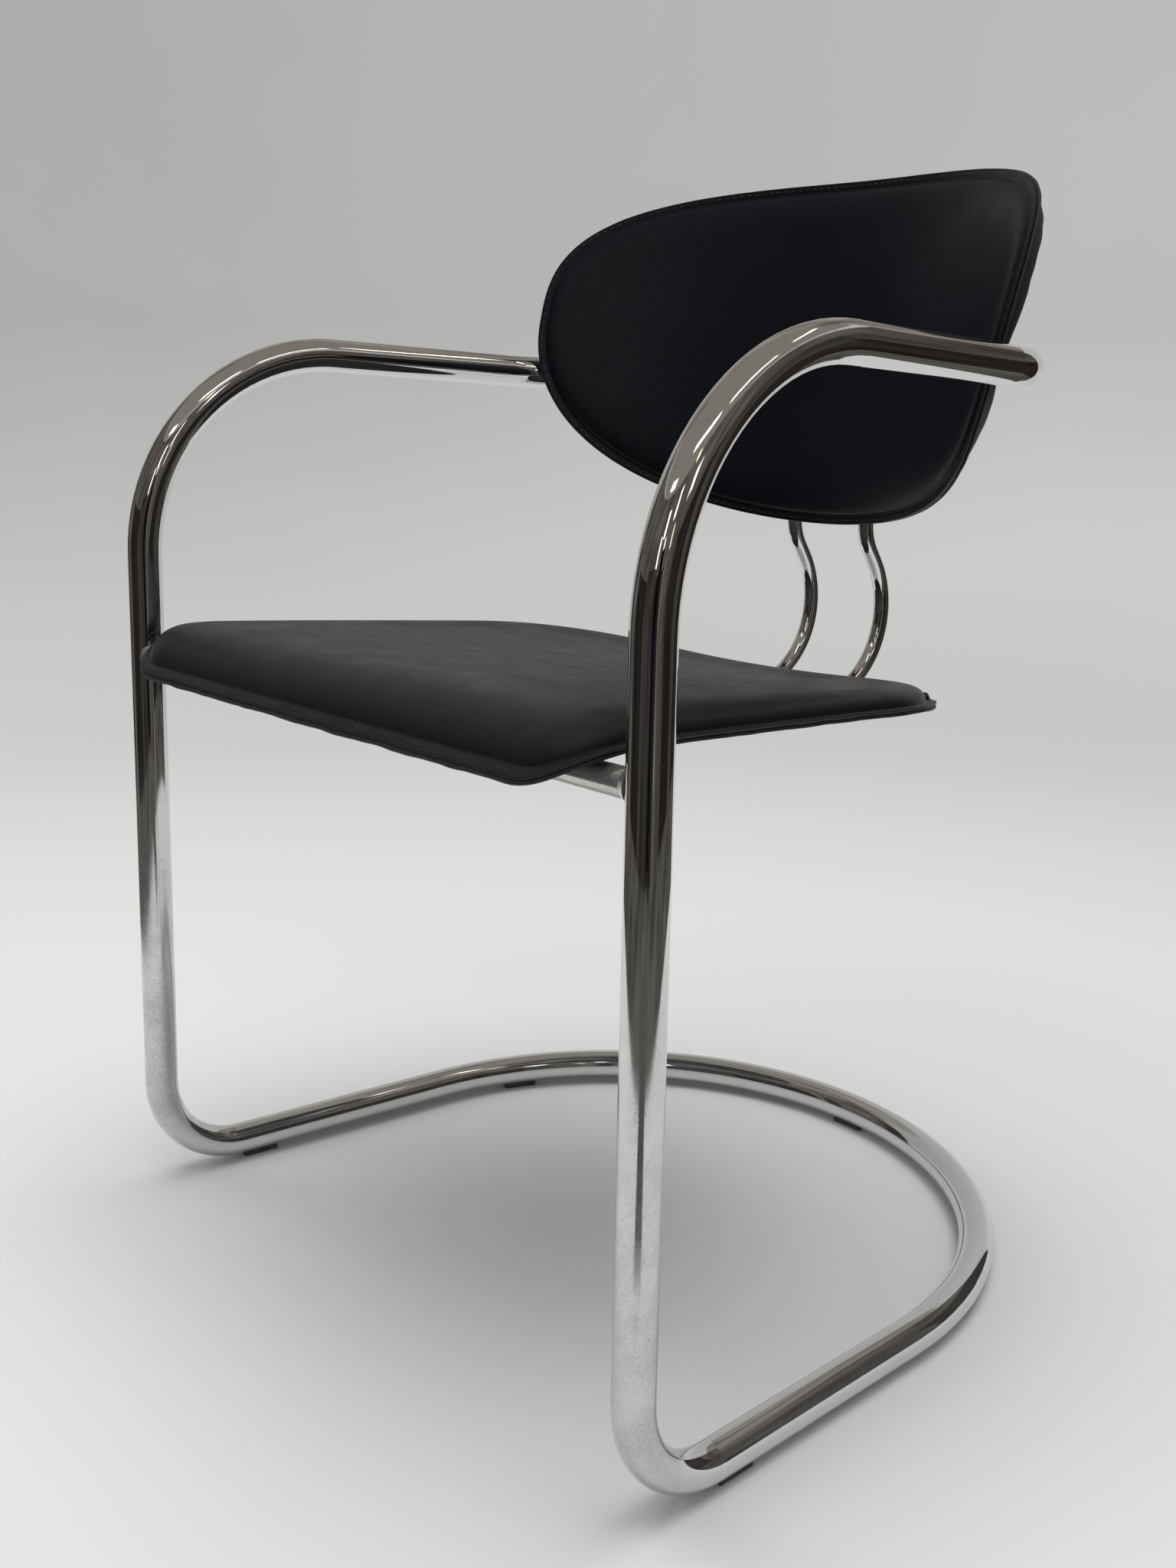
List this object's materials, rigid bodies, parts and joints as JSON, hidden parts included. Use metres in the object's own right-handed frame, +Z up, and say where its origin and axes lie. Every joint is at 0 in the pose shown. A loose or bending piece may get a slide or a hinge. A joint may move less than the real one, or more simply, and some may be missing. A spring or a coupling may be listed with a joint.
{
  "type": "cantilever chair",
  "caption": "Cantilever armchair of bent chromed tube with a black leather covered seat and a wrapped backrest on two rods.",
  "frame": {"origin": "middle of the bounding box, on the floor that the glides stand on", "axes": "+Z up, the sitter looks along -Y, +X is the sitter's left"},
  "size_m": [0.5974, 0.5526, 0.785],
  "materials": {
    "chrome": "polished, slightly clouded at the legs",
    "leather_seat": "black, matt and dusty with fine creases",
    "leather_back": "black, smooth with a soft sheen",
    "foam": "foam, hidden",
    "shell_core": "moulded plywood, hidden",
    "glide_plastic": "black, matt",
    "cap_plastic": "black, matt",
    "plain_steel": "zinc plated",
    "plated_strip": "bright plated"
  },
  "bodies": {
    "root": {"frame_tube_left": "chrome", "frame_tube_right": "chrome", "back_rod_left": "chrome", "back_rod_right": "chrome", "crossbar": "chrome", "crossbar_welds": "chrome", "rod_welds": "chrome", "seat_top_leather": "leather_seat", "seat_under_leather": "leather_seat", "back_front_leather": "leather_back", "back_rear_leather": "leather_back", "seat_foam": "foam", "back_foam": "foam", "seat_core": "shell_core", "back_core": "shell_core", "glide_front_left": "glide_plastic", "glide_front_right": "glide_plastic", "glide_side_left": "glide_plastic", "glide_side_right": "glide_plastic", "glide_rear": "glide_plastic", "glide_pins": "glide_plastic", "arm_end_cap_left": "cap_plastic", "arm_end_cap_right": "cap_plastic", "base_sleeve": "plain_steel", "arm_studs": "plain_steel", "seat_inserts": "plain_steel", "back_inserts": "plain_steel", "front_seat_screws": "plain_steel", "rear_seat_screws": "plain_steel", "plate_screws": "plain_steel", "seat_strap": "plated_strip", "rod_plate": "plated_strip"}
  },
  "joints": []
}
